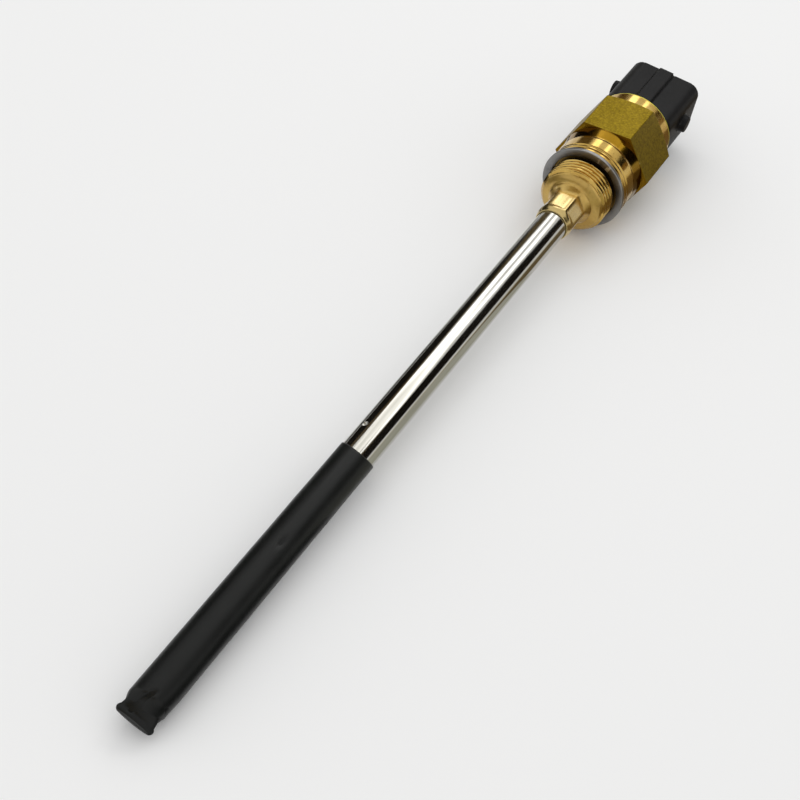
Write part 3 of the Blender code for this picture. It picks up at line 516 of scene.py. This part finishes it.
def body_rows():
    """Functions of the angle that give (station, radius), from the neck's rim over the outside to the bore."""
    rows = []

    def rings(*places):
        """Plain rings, given by their stations and radii."""
        for station, radius in places:
            rows.append(lambda angle, s=station, r=radius: (s, r))

    def span(function, start, stop, steps):
        """Rows of even spacing whose radius changes with the angle."""
        for i in range(steps + 1):
            station = start + (stop - start) * i / steps
            rows.append(lambda angle, s=station: (s, function(angle, s)))

    def hexagon(station, inset):
        rows.append(lambda angle: (station, hexagon_radius(angle, HEX_APOTHEM, HEX_FILLET) - inset))

    def rear_chamfer(shift):
        """The arc where the rear cone meets the flats, moved along the axis."""
        def place(angle):
            flat = hexagon_radius(angle, HEX_APOTHEM, HEX_FILLET)
            station = HEX_REAR - 1.3 + (CONE_TOP_RADIUS - flat) / CONE_FALL + shift
            cone = CONE_TOP_RADIUS - (station - HEX_REAR + 1.3) * CONE_FALL
            return (station, min(flat, cone))
        rows.append(place)

    rings(
        (-NECK_REACH + 0.5, TUBE_BORE), (-NECK_REACH + 0.05, 5.08), (-NECK_REACH, 5.12), (-NECK_REACH, 5.34),
        (-NECK_REACH + 0.04, NECK_RIM_RADIUS - 0.05),
    )
    span(neck_radius, -NECK_REACH + 0.14, -FACE_REACH - 0.9, 48)
    rings(
        (-FACE_REACH - 0.70, 7.60), (-FACE_REACH - 0.58, 8.00), (-FACE_REACH - 0.40, 8.90),
        (-FACE_REACH - 0.03, 9.45), (-FACE_REACH + 0.02, 9.62),
    )
    span(thread_radius, -FACE_REACH + 0.08, 0.0, 58)
    rings(
        (COLLAR_FRONT, RELIEF_RADIUS), (COLLAR_FRONT, RELIEF_RADIUS + 0.05),
        (COLLAR_FRONT, COLLAR_RADIUS - 0.50), (COLLAR_FRONT + 0.10, COLLAR_RADIUS - 0.28),
        (COLLAR_FRONT + 0.30, COLLAR_RADIUS - 0.10),
    )
    steps = 42
    start, stop = COLLAR_FRONT + 0.45, HEX_FRONT - 0.3
    for i in range(steps + 1):
        station = start + (stop - start) * (i / steps) ** 1.35
        rings((station, collar_radius(station)))
    rings((HEX_FRONT - 0.10, 13.92), (HEX_FRONT, 13.93))
    bevel = 0.05
    hexagon(HEX_FRONT, bevel)
    hexagon(HEX_FRONT + bevel * 0.3, bevel * 0.3)
    for station in (HEX_FRONT + bevel, 14.6, 17.0, 20.5, 24.0, 27.5, 30.5):
        hexagon(station, 0.0)
    for shift in (-0.12, 0.0, 0.05):
        rear_chamfer(shift)
    rings((HEX_REAR, 13.60), (HEX_REAR + 0.03, 13.35), (HEX_REAR + 0.20, LIP_RADIUS))
    rings((34.0, LIP_RADIUS), (35.5, LIP_RADIUS), (37.0, LIP_RADIUS), (LIP_END - 0.80, LIP_RADIUS))
    round_off = 0.42
    for i in range(7):
        turn = math.pi / 2 * i / 6
        rings((LIP_END - round_off * (1 - math.sin(turn)), LIP_RADIUS - round_off * (1 - math.cos(turn))))
    rings(
        (LIP_END, LIP_BORE + 0.2), (LIP_END - 0.2, LIP_BORE), (LIP_END - 1.3, LIP_BORE),
        (LIP_END - 1.3, RECESS_RADIUS), (RECESS_FLOOR, RECESS_RADIUS), (RECESS_FLOOR, CHAMBER_RADIUS),
        (CHAMBER_FLOOR, CHAMBER_RADIUS), (CHAMBER_FLOOR, WIRE_BORE_RADIUS),
        (TUBE_BORE_TOP, WIRE_BORE_RADIUS), (TUBE_BORE_TOP, TUBE_BORE),
        (SEAL_GROOVE_TOP, TUBE_BORE), (SEAL_GROOVE_TOP, SEAL_GROOVE_RADIUS),
        (SEAL_GROOVE_BOTTOM, SEAL_GROOVE_RADIUS), (SEAL_GROOVE_BOTTOM, TUBE_BORE),
    )
    return rows


def body_angles():
    """Angles round the body, closer together at the hexagon's corners and the crimp's ridges."""
    angles = {round(i * 1.5, 4) for i in range(240)}
    for side in range(6):
        for off in (-0.55, -0.35, -0.15, 0.15, 0.35, 0.55):
            angles.add(round(30 + 60 * side + off, 4) % 360)
        for off in (-3.2, -2.4, -1.2, 0.0, 1.2, 2.4, 3.2):
            angles.add(round(CRIMP_ANGLE + 30 + 60 * side + off, 4) % 360)
    return [math.radians(angle) for angle in sorted(angles)]


def paint_body(shape):
    """Sets the masks that the brass reads: the finishes, and where the painted shade, sheen, glint and
    reflection go.
    """
    milled, painted_gap_shade, satin_and_painted_sheen, rim, painted_cone_reflection = [shape.verts.layers.float[name] for name in MASKS]
    for vert in shape.verts:
        station = vert.co.z
        out = math.hypot(vert.co.x, vert.co.y)
        vert[milled] = 1.0 if HEX_FRONT - 0.05 < station < HEX_REAR - 0.2 and out > 13.95 else 0.0
        # Painted shade in the gap between ring, thread and collar, and in the tube's bore.
        gap = smoothstep(-0.9, -0.3, station) * (1 - smoothstep(1.5, 1.65, station))
        bore = 1.0 if out < 5.2 else 0.0
        vert[painted_gap_shade] = max(gap * (1 - smoothstep(11.9, 12.4, out)), bore)
        front = 1 - smoothstep(-7.9, -7.0, station)
        panels = 1 - smoothstep(-13.2, -11.9, station)
        # Satin finish on the neck and the thread's front, with a painted sheen on the panels.
        vert[satin_and_painted_sheen] = front * (0.5 + 0.5 * panels)
        # Painted glint on the lip's rounded end.
        vert[rim] = 1.0 if station > LIP_END - 0.50 and out > LIP_BORE + 0.1 else 0.0
        # Painted reflection on the cone, from the collar's step up to the hexagon.
        behind_step = smoothstep(9.3, 10.4, station)
        vert[painted_cone_reflection] = behind_step if station < HEX_FRONT + 0.01 and out > 12 else 0.0


def threaded_body():
    """The brass body in one skin, from the neck's rim over the thread, collar, hexagon and lip to the bore."""
    shape = bmesh.new()
    for name in MASKS:
        shape.verts.layers.float.new(name)
    angles = body_angles()
    rows = []
    for function in body_rows():
        row = []
        for angle in angles:
            station, radius = function(angle)
            row.append((radius * math.cos(angle), radius * math.sin(angle), station))
        rows.append(row)
    skin(shape, rows)
    paint_body(shape)
    piece_from("body_detail", shape, brass_material(), "threaded_body", 32)


# Washer, tube and sleeve


def rounded_section(inner, outer, bottom, top, outside, inside):
    """A ring's section with rounded edges, as (radius, station) points."""
    points = []
    corners = (
        (outer - outside, top - outside, 90, outside),
        (outer - outside, bottom + outside, 0, outside),
        (inner + inside, bottom + inside, -90, inside),
        (inner + inside, top - inside, -180, inside),
    )
    for radius, station, start, round_off in corners:
        for i in range(5):
            turn = math.radians(start - 90 * i / 4)
            points.append((radius + round_off * math.cos(turn), station + round_off * math.sin(turn)))
    return points


def sealing_washer():
    """A pressed ring, its front face sloping in to the hole, slightly bruised, standing on the table."""
    shape = bmesh.new()
    section = rounded_section(WASHER_INNER, WASHER_OUTER, 0.0, WASHER_THICKNESS, 0.22, 0.12)
    skin(shape, [circle(radius, station, 192) for radius, station in section])
    for vert in shape.verts:
        out = math.hypot(vert.co.x, vert.co.y)
        slope = 0.20 * (1 - smoothstep(WASHER_INNER, 13.5, out)) * (1 - vert.co.z / WASHER_THICKNESS)
        wave = noise.noise(Vector((vert.co.x * 0.25, vert.co.y * 0.25, 3.0)))
        vert.co.z += slope + 0.03 * wave * (1 if 0.2 < vert.co.z < 1.0 else 0.5)
        vert.co.z = min(max(vert.co.z, 0.0), WASHER_THICKNESS)
        vert.co.x -= WASHER_LIFT
    piece_from("washer_detail", shape, washer_material(), "sealing_washer", 50)


def tube_radius(angle, station):
    """Radius of the tube: plain but for its ends and the vent hole, which has a slightly raised edge."""
    radius = TUBE_RADIUS - (0.1 if station in (TUBE_BOTTOM, TUBE_SEAT) else 0.0)
    vent = math.pi - math.radians(VENT_ANGLE)
    across = ((angle - vent + math.pi) % (2 * math.pi) - math.pi) * TUBE_RADIUS
    away = math.hypot(across, station - VENT_STATION)
    radius += 0.015 * math.exp(-((away - 0.95) / 0.12) ** 2)
    radius -= 0.55 * (1 - smoothstep(0.50, 0.90, away))
    return radius


def probe_tube():
    """The polished tube with its vent hole."""
    shape = bmesh.new()
    steps = 192
    stations = [TUBE_BOTTOM, TUBE_BOTTOM + 0.1, -200, -170, -150, -140]
    stations += [VENT_STATION - 1.4 + 0.1 * i for i in range(29)]
    stations += [-125, -110, -90, -70, -50, -30, -10, TUBE_SEAT - 0.1, TUBE_SEAT]
    rows = [circle(TUBE_INNER, TUBE_SEAT, steps), circle(TUBE_INNER, TUBE_BOTTOM, steps)]
    for station in stations:
        row = []
        for i in range(steps):
            angle = 2 * math.pi * i / steps
            radius = tube_radius(angle, station)
            row.append((radius * math.cos(angle), radius * math.sin(angle), station))
        rows.append(row)
    skin(shape, rows)
    piece_from("tube_detail", shape, steel_material(), "probe_tube", 40)


# Place of the sleeve's small dent
MARK_STATION = -177.0
MARK_ANGLE = 178.0

TIP_HALF_THICKNESS = 1.12
TIP_HALF_WIDTH = 5.22
WAIST = 0.86 * SLEEVE_RADIUS
SLEEVE_WALL = 0.22


def sleeve_size(station):
    """The sleeve's half thickness and half width at a station."""
    share = (SHOULDER - station) / (SHOULDER - TIP_END)
    if share <= 0:
        return SLEEVE_RADIUS, SLEEVE_RADIUS
    fall = smoothstep(0.0, 0.78, share)
    thickness = SLEEVE_RADIUS + (TIP_HALF_THICKNESS - SLEEVE_RADIUS) * fall
    if share < 0.52:
        width = SLEEVE_RADIUS + (WAIST - SLEEVE_RADIUS) * smoothstep(0.0, 0.52, share)
    else:
        width = WAIST + (TIP_HALF_WIDTH - WAIST) * smoothstep(0.52, 0.80, share)
    if share > 0.82:
        width -= 0.62 * ((share - 0.82) / 0.18) ** 2
        thickness -= 0.18 * ((share - 0.82) / 0.18) ** 2
    return thickness, width


def sleeve_point(angle, station, inset):
    """A point of the sleeve's outside, with its crease, dent and ripples, or of its inside at an inset."""
    thickness, width = sleeve_size(station)
    share = (SHOULDER - station) / (SHOULDER - TIP_END)
    if inset:
        thickness += (0.10 - thickness + inset) * smoothstep(0.3, 0.8, share) - inset
    width -= inset
    x = thickness * math.cos(angle)
    y = width * math.sin(angle)
    fold = smoothstep(-0.35, 0.15, share) * (1 - smoothstep(0.55, 0.88, share))
    if not inset:
        crease = math.exp(-((y - 1.9 * (share + 0.3)) / 0.60) ** 2)
        x -= math.copysign(0.95 * crease * fold, x) * (1 if x < 0 else 0.3)
        if y < 0:
            y *= 1 - 0.07 * smoothstep(-0.7, 0.0, share) * (1 - smoothstep(0.45, 0.75, share))
        along = (station - MARK_STATION) / 1.7
        around = (math.degrees(angle) - MARK_ANGLE) / 7.0
        x += 0.34 * math.exp(-along ** 2 - around ** 2)
    if station > SHOULDER - 1:
        ripple = noise.noise(Vector((x * 0.35, y * 0.35, station * 0.09)))
        grow = 1 + 0.006 * ripple
        x *= grow
        y *= grow
    slant = SLEEVE_SLANT * x / SLEEVE_RADIUS * smoothstep(SLEEVE_TOP - 9, SLEEVE_TOP, station)
    return x, y, station + slant


def shrink_sleeve():
    """The sleeve, cut off at a slant, shrunk tight round the tube and pinched flat past the tube's end."""
    shape = bmesh.new()
    steps = 128
    outer = [SLEEVE_TOP - 0.03, SLEEVE_TOP - 0.10, SLEEVE_TOP - 0.3, SLEEVE_TOP - 1.0]
    outer += [SLEEVE_TOP - 2 - 0.66 * i for i in range(131)]
    outer += [SHOULDER + 2.2 - 0.16 * i for i in range(51)]
    rows = []
    angles = [2 * math.pi * i / steps for i in range(steps)]
    for k, station in enumerate(outer):
        round_off = (0.16, 0.06, 0.0)[min(k, 2)]
        shrink = 1 - round_off / SLEEVE_RADIUS
        row = []
        for angle in angles:
            x, y, z = sleeve_point(angle, max(station, TIP_END), 0.0)
            row.append((x * shrink, y * shrink, z))
        rows.append(row)
    for station in (TIP_END, TIP_END + 0.8, SHOULDER - 2.0, SHOULDER, SLEEVE_TOP - 1.0, SLEEVE_TOP):
        rows.append([sleeve_point(angle, station, SLEEVE_WALL) for angle in angles])
    skin(shape, rows)
    turn = LAID_DOWN @ Matrix.Rotation(math.radians(PINCH_ANGLE), 4, "Z")
    piece_from("sleeve_detail", shape, sleeve_material(), "shrink_sleeve", 50, turn)


# Connector housing


def solid_box(low, high):
    """A box given by two opposite corners."""
    shape = bmesh.new()
    made = bmesh.ops.create_cube(shape, size=1.0)["verts"]
    for vert in made:
        vert.co = Vector(high[i] if vert.co[i] > 0 else low[i] for i in range(3))
    return shape


def round_uprights(shape, corner, steps):
    """Rounds the edges that run along the axis."""
    uprights = [e for e in shape.edges if abs(e.verts[0].co.z - e.verts[1].co.z) > 1e-4]
    bmesh.ops.bevel(shape, geom=uprights, offset=corner, segments=steps, affect="EDGES", profile=0.5)


def turned_solid(profile):
    """A solid turned about the axis, closed at both ends of its (radius, station) profile."""
    shape = bmesh.new()
    made = skin(shape, [circle(radius, station, 96) for radius, station in profile], closed_rows=False)
    shape.faces.new(made[0])
    shape.faces.new(made[-1])
    bmesh.ops.recalc_face_normals(shape, faces=shape.faces)
    return shape


def apply_modifiers(piece):
    graph = bpy.context.evaluated_depsgraph_get()
    bpy.context.view_layer.update()
    return bpy.data.meshes.new_from_object(piece.evaluated_get(graph))


def housing_additions(helper):
    """The turned base that sits in the body, the rib on the top and a latch boss on each side."""
    base = turned_solid((
        (10.6, 27.74), (11.0, 28.0), (11.0, 30.4), (10.0, 30.4), (10.0, 32.1), (11.0, 32.1), (11.0, 34.74),
        (12.3, 34.74), (12.3, 37.34), (11.6, 37.34), (11.6, HOUSING_BASE + 0.5),
    ))
    top = -HOUSING_HALF_X
    rib = solid_box(
        (top - 1.1, RIB_MIDDLE - RIB_HALF_WIDTH, HOUSING_BASE + 1.0),
        (top + 1.0, RIB_MIDDLE + RIB_HALF_WIDTH, HOUSING_END - 0.6),
    )
    raised = [e for e in rib.edges if all(v.co.x < top for v in e.verts)]
    crests = [e for e in raised if abs(e.verts[0].co.y - e.verts[1].co.y) < 0.1]
    bmesh.ops.bevel(rib, geom=crests, offset=0.45, segments=4, affect="EDGES", profile=0.5)
    adds = [helper("housing_base", base), helper("housing_rib", rib)]
    for side, rise in ((-1, 12.2), (1, 13.6)):
        boss = bmesh.new()
        middle = Matrix.Translation((-1.5, side * (HOUSING_HALF_Y + 0.55), HOUSING_BASE + rise))
        place = middle @ Matrix.Rotation(-side * math.pi / 2, 4, "X")
        bmesh.ops.create_cone(
            boss, cap_ends=True, segments=48, radius1=BOSS_RADIUS, radius2=BOSS_END_RADIUS,
            depth=BOSS_DEPTH, matrix=place,
        )
        adds.append(helper("housing_boss", boss))
    return adds


def housing_cuts(helper):
    """The socket, the groove beside the rib and a slot for each pin."""
    x, y = HOUSING_HALF_X - HOUSING_WALL, HOUSING_HALF_Y - HOUSING_WALL
    socket = solid_box((-x, -y, SOCKET_FLOOR), (x, y, HOUSING_END + 2))
    round_uprights(socket, SOCKET_CORNER, 8)
    cuts = [helper("socket", socket)]
    edge, top = RIB_MIDDLE - RIB_HALF_WIDTH, -HOUSING_HALF_X
    groove = solid_box((top - 2.0, edge - 0.45, HOUSING_BASE + 0.9), (top + 0.28, edge, HOUSING_END + 1.0))
    cuts.append(helper("rib_groove", groove))
    for side in (-1, 1):
        middle = side * PIN_MIDDLE
        right, left = middle - PIN_SLOT_HALF_WIDTH, middle + PIN_SLOT_HALF_WIDTH
        thick = PIN_SLOT_HALF_THICKNESS
        slot = solid_box((-thick, right, 26.0), (thick, left, SOCKET_FLOOR + 1.0))
        cuts.append(helper("pin_slot", slot))
    return cuts


def connector_housing():
    """The moulded housing, melted from its solids on a fine grid so that every edge is softly rounded."""
    helpers = []

    def helper(name, shape):
        made = bpy.data.objects.new(name, mesh_of(shape, name))
        bpy.context.scene.collection.objects.link(made)
        helpers.append(made)
        return made

    x, y = HOUSING_HALF_X, HOUSING_HALF_Y
    box = solid_box((-x, -y, HOUSING_BASE), (x, y, HOUSING_END))
    round_uprights(box, HOUSING_CORNER, 10)
    main = helper("housing_box", box)
    joins = [(other, "UNION") for other in housing_additions(helper)]
    joins += [(other, "DIFFERENCE") for other in housing_cuts(helper)]
    for other, operation in joins:
        boolean = main.modifiers.new("join", "BOOLEAN")
        boolean.object = other
        boolean.operation = operation
        boolean.solver = "EXACT"
    melt = main.modifiers.new("melt", "REMESH")
    melt.mode = "VOXEL"
    melt.voxel_size = 0.26
    soften = main.modifiers.new("soften", "SMOOTH")
    soften.factor = 0.5
    soften.iterations = 3
    mesh = apply_modifiers(main)
    for made in helpers:
        bpy.data.objects.remove(made)
    turn = Matrix.Rotation(math.radians(HOUSING_TURN), 4, "Z")
    mesh.transform(LAID_DOWN @ turn @ Matrix.Scale(MM, 4))
    mesh.shade_smooth()
    mesh.materials.clear()
    add_piece("housing_detail", mesh, plastic_material(), "connector_housing")


# Inner nodes


def inner_materials():
    """The nodes inside keep their CAD shape and get a finished material each."""
    tin = plain_metal("tin_plate", (0.50, 0.50, 0.48), (0.66, 0.66, 0.64), 0.22)
    steel = plain_metal("spring_steel", (0.40, 0.40, 0.39), (0.55, 0.55, 0.53), 0.22)
    clips = plain_metal("spring_brass_strip", (0.52, 0.38, 0.16), (0.68, 0.52, 0.24), 0.26)
    wire = plain_metal("drawn_wire", (0.40, 0.37, 0.33), (0.52, 0.49, 0.44), 0.25)
    rubber = plain_polymer("black_rubber", (0.012, 0.012, 0.012), (0.022, 0.022, 0.022), 0.62)
    white = plain_polymer("white_guide_plastic", (0.58, 0.57, 0.53), (0.70, 0.69, 0.65), 0.42)
    sleeve = plain_polymer("thin_black_sleeve", (0.010, 0.010, 0.010), (0.018, 0.018, 0.018), 0.38)
    laminate = plain_polymer("green_laminate", (0.15, 0.25, 0.09), (0.22, 0.34, 0.14), 0.38)
    red = plain_polymer("red_insulation", (0.36, 0.02, 0.015), (0.46, 0.035, 0.025), 0.42)
    blue = plain_polymer("blue_insulation", (0.02, 0.06, 0.32), (0.035, 0.09, 0.42), 0.42)
    finishes = {
        "terminal_pin_1": tin, "terminal_pin_2": tin, "crimp_ferrule_1": tin, "crimp_ferrule_2": tin,
        "wire_hook": steel, "tension_spring": steel, "contact_clip_1": clips, "contact_clip_2": clips,
        "sensing_wire": wire, "housing_seal_ring": rubber, "tube_seal_ring": rubber, "wire_grommet": rubber,
        "upper_guide": white, "lower_guide": white,
        "insulating_sleeve_1": sleeve, "insulating_sleeve_2": sleeve,
        "carrier_strip": laminate, "lead_wire_1": red, "lead_wire_2": blue,
    }
    for name, finish in finishes.items():
        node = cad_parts[name]
        node.data.materials.clear()
        node.data.materials.append(finish)
    for name in ("terminal_pin_1", "terminal_pin_2"):
        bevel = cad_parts[name].modifiers.new("soft_edges", "BEVEL")
        bevel.width = 0.08 * MM
        bevel.segments = 2
        bevel.limit_method = "ANGLE"


# Studio, in metres: X away from the camera, Y to its left, Z up from the table

SOFTBOX_DISTANCE = 0.6
FLAG_DISTANCE = 0.61
ON_FLOOR = 0.0006
BLACK = (0.014, 0.012, 0.010)
FLOOR_COLOUR = (0.93, 0.93, 0.925)
FLOOR_REACH = 3.0
WORLD_BRIGHTNESS = 0.84

# Left, right, low and high edge, and brightness
SOFTBOXES = {
    "softbox_low_left": (0.235, 0.115, 0.29, 0.50, 1.8),
    "softbox_low_right": (-0.03, -0.10, 0.31, 0.50, 1.6),
    "softbox_middle_left": (0.35, 0.12, 0.50, 0.66, 1.9),
    "softbox_middle_right": (-0.04, -0.23, 0.50, 0.66, 1.9),
    "softbox_high": (0.42, -0.50, 0.66, 0.80, 1.65),
    "softbox_top": (0.32, -0.36, 0.80, 0.95, 1.5),
}

# First and last azimuth, lowest and highest elevation, distance and colour
WALLS = {
    "flag_right": (-75, -36, 8.0, 38.0, 0.50, BLACK),
    "flag_right_inner": (-36, -28, 15.0, 38.0, 0.50, BLACK),
    "flag_right_low": (-36, -28, 8.0, 15.0, 0.50, (0.26, 0.17, 0.07)),
    "flag_left": (38, 85, 0.1, 36.0, 0.50, BLACK),
    "flag_left_end": (24, 38, 9.0, 34.0, 0.50, (0.13, 0.095, 0.045)),
    "flag_low": (-28, 24, 6.0, 25.0, 0.56, (0.075, 0.055, 0.028)),
}

# Left, right, low and high edge, and colour
UPRIGHTS = {
    "flag_high_left": (0.80, 0.42, 0.48, 0.80, (0.12, 0.09, 0.05)),
    "flag_high_right": (-0.52, -0.85, 0.45, 0.80, (0.10, 0.07, 0.03)),
}

# Near, far, right and left edge, height and colour. The cards at floor height are painted shade on the floor
# round the sensor, seen only in its reflections.
CARDS = {
    "flag_top": (0.61, 0.80, -0.46, 0.36, 1.01, (0.28, 0.27, 0.23)),
    "card_left": (-0.30, 0.03, 0.032, 0.49, ON_FLOOR, BLACK),
    "card_left_front": (0.03, 0.145, 0.042, 0.13, ON_FLOOR, BLACK),
    "card_above": (-0.95, -0.25, -0.55, 0.50, 0.9, (0.28, 0.19, 0.06)),
    "card_sleeve": (-0.32, -0.065, -0.45, -0.010, ON_FLOOR, (0.05, 0.05, 0.05)),
    "card_tube": (-0.064, 0.055, -0.45, -0.010, ON_FLOOR, (0.56, 0.56, 0.48)),
    "card_body": (0.056, 0.24, -0.11, -0.018, ON_FLOOR, (0.20, 0.15, 0.08)),
    "card_far": (0.056, 0.55, -0.60, -0.111, ON_FLOOR, (0.75, 0.70, 0.56)),
}


def camera():
    """The photograph's viewpoint: 1700 px focal length on an 800 px frame."""
    data = bpy.data.cameras.new("camera")
    data.lens = 76.5
    data.sensor_width = 36.0
    data.clip_start = 0.01
    piece = bpy.data.objects.new("camera", data)
    right = Vector((0.49313, -0.86645, 0.07798))
    up = Vector((0.56048, 0.38498, 0.73325))
    back = -Vector((0.66535, 0.31788, -0.67548))
    place = Matrix((right, up, back)).transposed().to_4x4()
    place.translation = (-0.33324, -0.14545, 0.32038)
    piece.matrix_world = place
    bpy.context.scene.collection.objects.link(piece)
    bpy.context.scene.camera = piece


def flat_colour(name, colour):
    made = bpy.data.materials.new(name)
    made.use_nodes = True
    shader = made.node_tree.nodes["Principled BSDF"]
    shader.inputs["Base Color"].default_value = (*colour, 1)
    shader.inputs["Roughness"].default_value = 0.9
    shader.inputs["Specular IOR Level"].default_value = 0.0
    return made


def board(name, corners, colour, only_reflections=True):
    """A flat studio board; one outside the picture shows only in reflections and casts no shadow."""
    mesh = bpy.data.meshes.new(name)
    mesh.from_pydata(corners, [], [tuple(range(len(corners)))])
    mesh.materials.append(flat_colour(name, colour))
    piece = bpy.data.objects.new(name, mesh)
    bpy.context.scene.collection.objects.link(piece)
    if only_reflections:
        piece.visible_camera = False
        piece.visible_diffuse = False
        piece.visible_shadow = False
        piece.visible_transmission = False


def wall(name, azimuth_from, azimuth_to, low, high, distance, colour):
    """A curved flag in strips of about ten degrees, given by azimuths and elevations in degrees."""
    strips = max(1, round(abs(azimuth_to - azimuth_from) / 10))
    for i in range(strips):
        ends = [azimuth_from + (azimuth_to - azimuth_from) * (i + k) / strips for k in (0, 1)]
        corners = []
        for azimuth, elevation in ((ends[0], low), (ends[1], low), (ends[1], high), (ends[0], high)):
            turn = math.radians(azimuth)
            height = distance * math.tan(math.radians(elevation))
            corners.append((distance * math.cos(turn), distance * math.sin(turn), height))
        board(f"{name}_{i}", corners, colour)


def upright(name, left, right, low, high, colour):
    """An upright flag behind the softboxes, given by its edges across the table and above it."""
    edges = ((left, low), (right, low), (right, high), (left, high))
    board(name, [(FLAG_DISTANCE, y, z) for y, z in edges], colour)


def card(name, near, far, right, left, height, colour):
    """A level card, given by its edges along and across the sensor as the camera sees them."""
    corners = [(near, right), (far, right), (far, left), (near, left)]
    board(name, [(x, y, height) for x, y in corners], colour)


def softbox(name, left, right, low, high, radiance):
    """An upright lamp behind the sensor, given by its edges and the brightness of its face."""
    data = bpy.data.lights.new(name, "AREA")
    data.shape = "RECTANGLE"
    data.size = left - right
    data.size_y = high - low
    data.energy = radiance * math.pi * data.size * data.size_y
    lamp = bpy.data.objects.new(name, data)
    lamp.location = (SOFTBOX_DISTANCE, (left + right) / 2, (low + high) / 2)
    lamp.rotation_euler = Vector((-1, 0, 0)).to_track_quat("-Z", "Y").to_euler()
    bpy.context.scene.collection.objects.link(lamp)


def studio():
    """Pale floor, even light, softboxes behind the sensor, and boards that only its surface mirrors."""
    bpy.context.scene.view_settings.view_transform = "Standard"
    world = bpy.data.worlds.new("studio")
    world.use_nodes = True
    background = world.node_tree.nodes["Background"]
    background.inputs["Color"].default_value = (1, 1, 1, 1)
    background.inputs["Strength"].default_value = WORLD_BRIGHTNESS
    bpy.context.scene.world = world
    reach = FLOOR_REACH
    floor = [(-reach, -reach, 0), (reach, -reach, 0), (reach, reach, 0), (-reach, reach, 0)]
    board("floor", floor, FLOOR_COLOUR, only_reflections=False)
    for name, row in SOFTBOXES.items():
        softbox(name, *row)
    for make, table in ((wall, WALLS), (upright, UPRIGHTS), (card, CARDS)):
        for name, row in table.items():
            make(name, *row)


threaded_body()
sealing_washer()
probe_tube()
shrink_sleeve()
connector_housing()
inner_materials()
studio()
camera()
